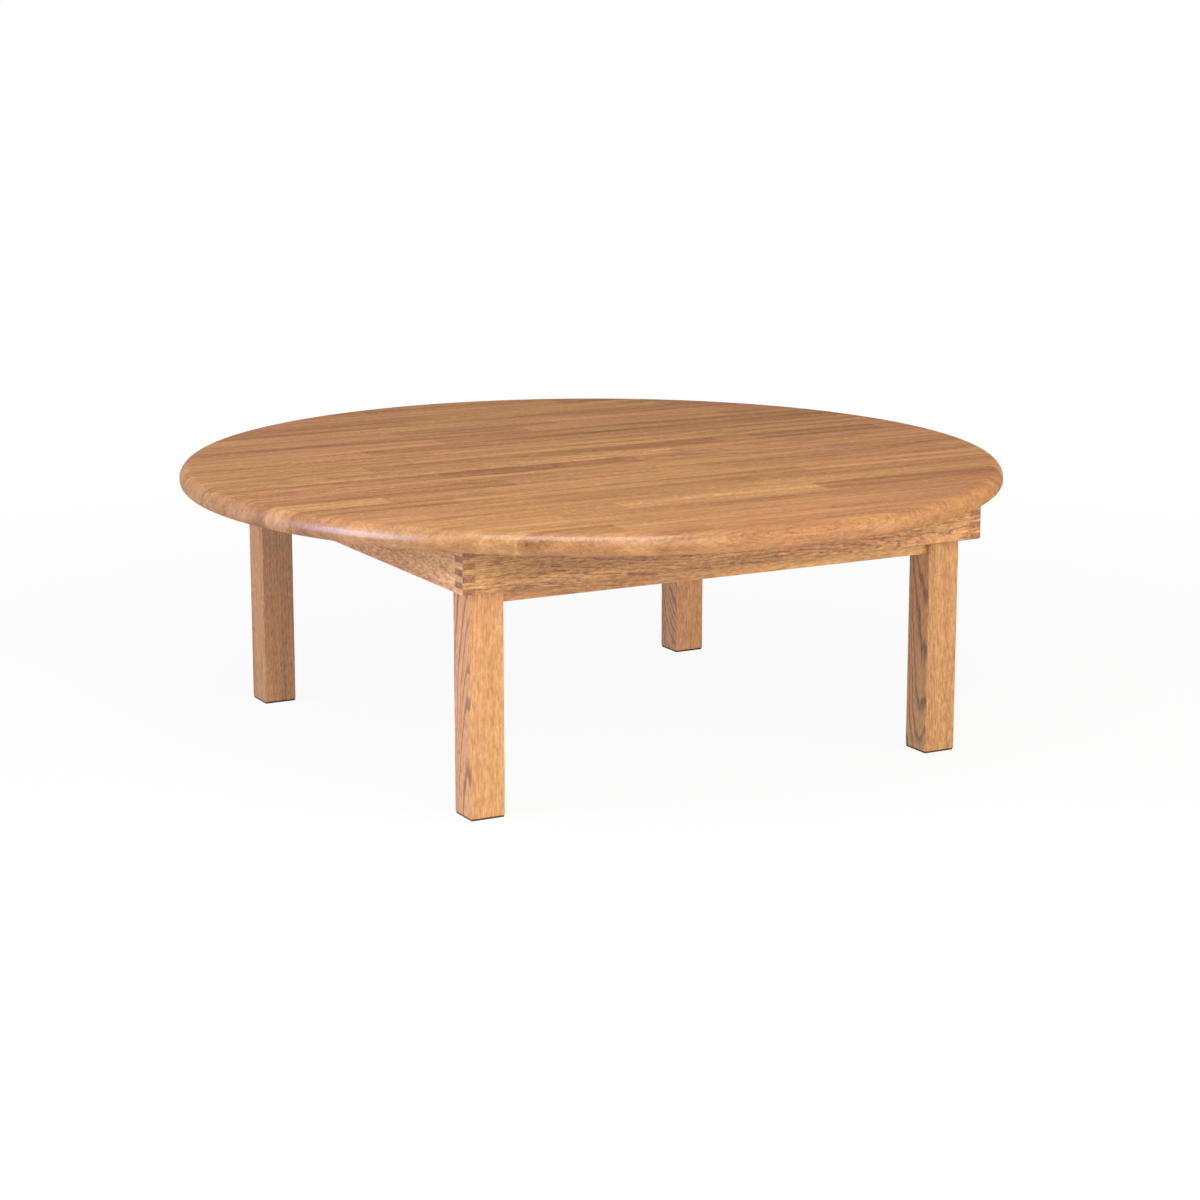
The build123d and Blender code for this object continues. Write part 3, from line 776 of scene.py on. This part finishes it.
def buildScrewTree():
    # built with the head upwards and its seat at zero, then set on points whose "outward" gives
    # the way up
    tree = bpy.data.node_groups.new("woodScrew", "GeometryNodeTree")
    tree.interface.new_socket("Geometry", in_out="INPUT", socket_type="NodeSocketGeometry")
    for name, size in screwSizes("cleat_screws").items():  # every kind has the same names
        kind = "NodeSocketVector" if isinstance(size, list) else "NodeSocketFloat"
        tree.interface.new_socket(name, in_out="INPUT", socket_type=kind)
    tree.interface.new_socket("seed", in_out="INPUT", socket_type="NodeSocketInt")
    tree.interface.new_socket("finish", in_out="INPUT", socket_type="NodeSocketMaterial")
    tree.interface.new_socket("Geometry", in_out="OUTPUT", socket_type="NodeSocketGeometry")
    given = addNode(tree, "NodeGroupInput").outputs

    cone = addNode(tree, "GeometryNodeMeshCone", None,
                   {"Vertices": screwShape["sides"], "Radius Top": given["topRadius"],
                    "Radius Bottom": given["footRadius"], "Depth": given["headDepth"]})
    head = addNode(tree, "GeometryNodeTransform", None,
                   {"Geometry": cone.outputs[0], "Translation": given["headPlace"]})
    recessed = addNode(tree, "GeometryNodeMeshBoolean",
                       {"operation": "DIFFERENCE", "solver": "EXACT"}, {"Mesh 1": head.outputs[0]})
    for size in ("armAcross", "armAlong"):
        bar = addNode(tree, "GeometryNodeMeshCube", None, {"Size": given[size]})
        arm = addNode(tree, "GeometryNodeTransform", None,
                      {"Geometry": bar.outputs[0], "Translation": given["armPlace"]})
        tree.links.new(arm.outputs[0], recessed.inputs["Mesh 2"])

    shank = addNode(tree, "GeometryNodeMeshCylinder", None,
                    {"Vertices": screwShape["sides"], "Radius": given["shankRadius"],
                     "Depth": given["plainShank"]})
    plain = addNode(tree, "GeometryNodeTransform", None,
                    {"Geometry": shank.outputs[0], "Translation": given["plainPlace"]})
    rod = addNode(tree, "GeometryNodeMeshCylinder", None,
                  {"Vertices": screwShape["sides"] // 2, "Radius": given["coreRadius"],
                   "Depth": given["straight"]})
    core = addNode(tree, "GeometryNodeTransform", None,
                   {"Geometry": rod.outputs[0], "Translation": given["straightPlace"]})
    tip = addNode(tree, "GeometryNodeMeshCone", None,
                  {"Vertices": screwShape["sides"] // 2, "Radius Top": given["coreRadius"],
                   "Radius Bottom": given["pointRadius"], "Depth": given["pointLength"]})
    point = addNode(tree, "GeometryNodeTransform", None,
                    {"Geometry": tip.outputs[0], "Translation": given["pointPlace"]})
    spiral = addNode(tree, "GeometryNodeCurveSpiral", None,
                     {"Resolution": screwShape["stepsPerTurn"], "Rotations": given["rounds"],
                      "Start Radius": given["threadRadius"], "End Radius": given["threadRadius"],
                      "Height": given["threadLength"]})
    ridge = addNode(tree, "GeometryNodeCurvePrimitiveCircle", None,
                    {"Resolution": screwShape["ridgeSides"], "Radius": given["ridgeRadius"]})
    wound = addNode(tree, "GeometryNodeCurveToMesh", None,
                    {"Curve": spiral.outputs[0], "Profile Curve": ridge.outputs[0],
                     "Fill Caps": True})
    thread = addNode(tree, "GeometryNodeTransform", None,
                     {"Geometry": wound.outputs[0], "Translation": given["threadPlace"]})
    screw = addNode(tree, "GeometryNodeJoinGeometry")
    for part in (recessed, plain, core, point, thread):
        tree.links.new(part.outputs[0], screw.inputs[0])

    outward = addNode(tree, "GeometryNodeInputNamedAttribute", {"data_type": "FLOAT_VECTOR"},
                      {"Name": "outward"})
    upright = addNode(tree, "FunctionNodeAlignRotationToVector", {"axis": "Z"},
                      {"Vector": outward.outputs[0]})
    driven = addNode(tree, "FunctionNodeRandomValue", {"data_type": "FLOAT"},
                     {"Min": 0.0, "Max": math.pi / 2, "Seed": given["seed"]})
    tightened = addNode(tree, "FunctionNodeAxisAngleToRotation", None,
                        {"Axis": (0, 0, 1), "Angle": next(o for o in driven.outputs if o.enabled)})
    turned = addNode(tree, "FunctionNodeRotateRotation", {"rotation_space": "LOCAL"},
                     {"Rotation": upright.outputs[0], "Rotate By": tightened.outputs[0]})
    placed = addNode(tree, "GeometryNodeInstanceOnPoints", None,
                     {"Points": given["Geometry"], "Instance": screw.outputs[0],
                      "Rotation": turned.outputs[0]})
    real = addNode(tree, "GeometryNodeRealizeInstances", None, {"Geometry": placed.outputs[0]})
    plated = addNode(tree, "GeometryNodeSetMaterial", None,
                     {"Geometry": real.outputs[0], "Material": given["finish"]})
    addNode(tree, "NodeGroupOutput", None, {0: plated.outputs[0]})
    return tree


def buildScrews(kind, tree):
    places = screwPlaces(kind)
    mesh = bpy.data.meshes.new(kind + "_places")
    mesh.from_pydata([place for place, out in places], [], [])
    outward = mesh.attributes.new("outward", "FLOAT_VECTOR", "POINT")
    for i, (place, out) in enumerate(places):
        outward.data[i].vector = out
    holder = bpy.data.objects.new(kind + "_places", mesh)
    scene.collection.objects.link(holder)
    given = {**screwSizes(kind), "seed": screwShape["seed"], "finish": finishes["zinc_steel"]}
    modifier = holder.modifiers.new("screws", "NODES")
    modifier.node_group = tree
    for item in tree.interface.items_tree:
        if item.in_out == "INPUT" and item.name in given:
            modifier[item.identifier] = given[item.name]
    evaluated = holder.evaluated_get(bpy.context.evaluated_depsgraph_get())
    made = bpy.data.meshes.new_from_object(evaluated)
    made.name = kind + "_threaded"
    bpy.data.objects.remove(holder)
    body = screwKinds[kind]["body"]
    pieceFromMesh(kind + "_threaded", made, finishes["zinc_steel"], body, [kind])
    return len(places)


screwTree = buildScrewTree()
print("screws:", sum(buildScrews(kind, screwTree) for kind in screwKinds))


# studio: white floor that keeps the shadow, soft lamps at a plain level, camera
studio = {
    "floorSize": 120.0,
    "floorColour": "#f7f6f4",
    "floorGlow": 0.93,  # share of the floor by the table that reads as plain white to the camera
    "glowFrom": 0.7,    # it grows to all of it between these distances from the middle
    "glowTo": 2.0,
    "worldLight": 0.13,
    "lamps": [
        # name, power in watts, width and height, which way it stands (degrees from the front to
        # the right, and up), how far off, and its colour
        ("overhead", 13.4, (1.0, 0.95), 326, 62, 1.65, "#fffcfc"),
        ("frontRight", 37.0, (1.8, 1.0), 40, 12, 3.2, "#fffcea"),
        ("front", 33.0, (1.8, 1.8), 0, 18, 3.2, "#fffaf2"),
        ("frontHigh", 20.0, (1.8, 1.8), 350, 32, 3.2, "#fffaf2"),
        ("leftLow", 72.0, (1.8, 1.8), 270, 12, 3.2, "#c0d1ff"),
        ("leftHigh", 19.0, (1.8, 1.8), 270, 35, 3.2, "#fbf8ff"),
        ("back", 8.0, (2.2, 1.2), 205, 9, 3.2, "#ffffff"),
        ("right", 4.0, (2.2, 1.2), 105, 9, 3.2, "#ffffff"),
    ],
    "matteLamps": ("frontRight", "front"),  # these light the oak but aren't mirrored in it
    "aim": (0.0, 0.0, 0.2),
}


def seenAsWhite(tree):
    # 1 for rays from the camera, mirrored or let through, 0 for the ones that light things
    rays = addNode(tree, "ShaderNodeLightPath")
    direct = addNode(tree, "ShaderNodeMath", {"operation": "MAXIMUM"},
                     {0: rays.outputs["Is Camera Ray"], 1: rays.outputs["Is Glossy Ray"]})
    return addNode(tree, "ShaderNodeMath", {"operation": "MAXIMUM"},
                   {0: direct.outputs[0], 1: rays.outputs["Is Transmission Ray"]}).outputs[0]


world = bpy.data.worlds.new("studio")
scene.world = world
world.use_nodes = True
tree = world.node_tree
tree.nodes.clear()
ambient = addNode(tree, "ShaderNodeBackground", None,
                  {"Color": (1, 1, 1, 1), "Strength": studio["worldLight"]})
backdrop = addNode(tree, "ShaderNodeBackground", None, {"Color": (1, 1, 1, 1), "Strength": 1.0})
mixed = addNode(tree, "ShaderNodeMixShader", None,
                {0: seenAsWhite(tree), 1: ambient.outputs[0], 2: backdrop.outputs[0]})
addNode(tree, "ShaderNodeOutputWorld", None, {"Surface": mixed.outputs[0]})

floorMaterial, tree = newMaterial("white_paper_sweep")
spread = addNode(tree, "ShaderNodeTexCoord")
distance = addNode(tree, "ShaderNodeVectorMath", {"operation": "LENGTH"},
                   {0: spread.outputs["Object"]})
whiter = addNode(tree, "ShaderNodeMapRange", {"interpolation_type": "SMOOTHSTEP"},
                 {"Value": distance.outputs["Value"], "From Min": studio["glowFrom"],
                  "From Max": studio["glowTo"], "To Min": studio["floorGlow"], "To Max": 1.0})
share = addNode(tree, "ShaderNodeMath", {"operation": "MULTIPLY"},
                {0: seenAsWhite(tree), 1: whiter.outputs[0]})
paper = addNode(tree, "ShaderNodeBsdfDiffuse", None, {"Color": linearColour(studio["floorColour"])})
glow = addNode(tree, "ShaderNodeEmission", None, {"Color": (1, 1, 1, 1), "Strength": 1.0})
mixed = addNode(tree, "ShaderNodeMixShader", None,
                {0: share.outputs[0], 1: paper.outputs[0], 2: glow.outputs[0]})
addNode(tree, "ShaderNodeOutputMaterial", None, {"Surface": mixed.outputs[0]})

floorMesh = bpy.data.meshes.new("floor")
half = studio["floorSize"] / 2
corners = [(-half, -half, 0), (half, -half, 0), (half, half, 0), (-half, half, 0)]
floorMesh.from_pydata(corners, [], [(0, 1, 2, 3)])
floor = bpy.data.objects.new("floor", floorMesh)
floorMesh.materials.append(floorMaterial)
scene.collection.objects.link(floor)

for name, power, size, turn, up, away, tint in studio["lamps"]:
    lamp = bpy.data.lights.new(name, "AREA")
    lamp.shape = "RECTANGLE"
    lamp.size, lamp.size_y = size
    lamp.energy = power
    lamp.color = linearColour(tint)[:3]
    holder = bpy.data.objects.new(name, lamp)
    holder.rotation_euler = (math.radians(90 - up), 0, math.radians(turn))
    holder.visible_glossy = name not in studio["matteLamps"]
    back = holder.rotation_euler.to_matrix() @ Vector((0, 0, away))
    holder.location = Vector(studio["aim"]) + back
    scene.collection.objects.link(holder)

cameraView = {
    "spot": (-1.71326, -3.19726, 0.94589),
    "yaw": -28.3493,
    "pitch": 12.2852,
    "lens": 90.129,
    "sensor": 36.0,
    "farthest": 200.0,
}
camera = bpy.data.cameras.new("camera")
camera.lens = cameraView["lens"]
camera.sensor_width = cameraView["sensor"]
camera.clip_end = cameraView["farthest"]
stand = bpy.data.objects.new("camera", camera)
stand.location = cameraView["spot"]
stand.rotation_euler = (math.radians(90 - cameraView["pitch"]), 0.0,
                        math.radians(cameraView["yaw"]))
scene.collection.objects.link(stand)
bpy.context.scene.camera = stand
print("studio and camera set")
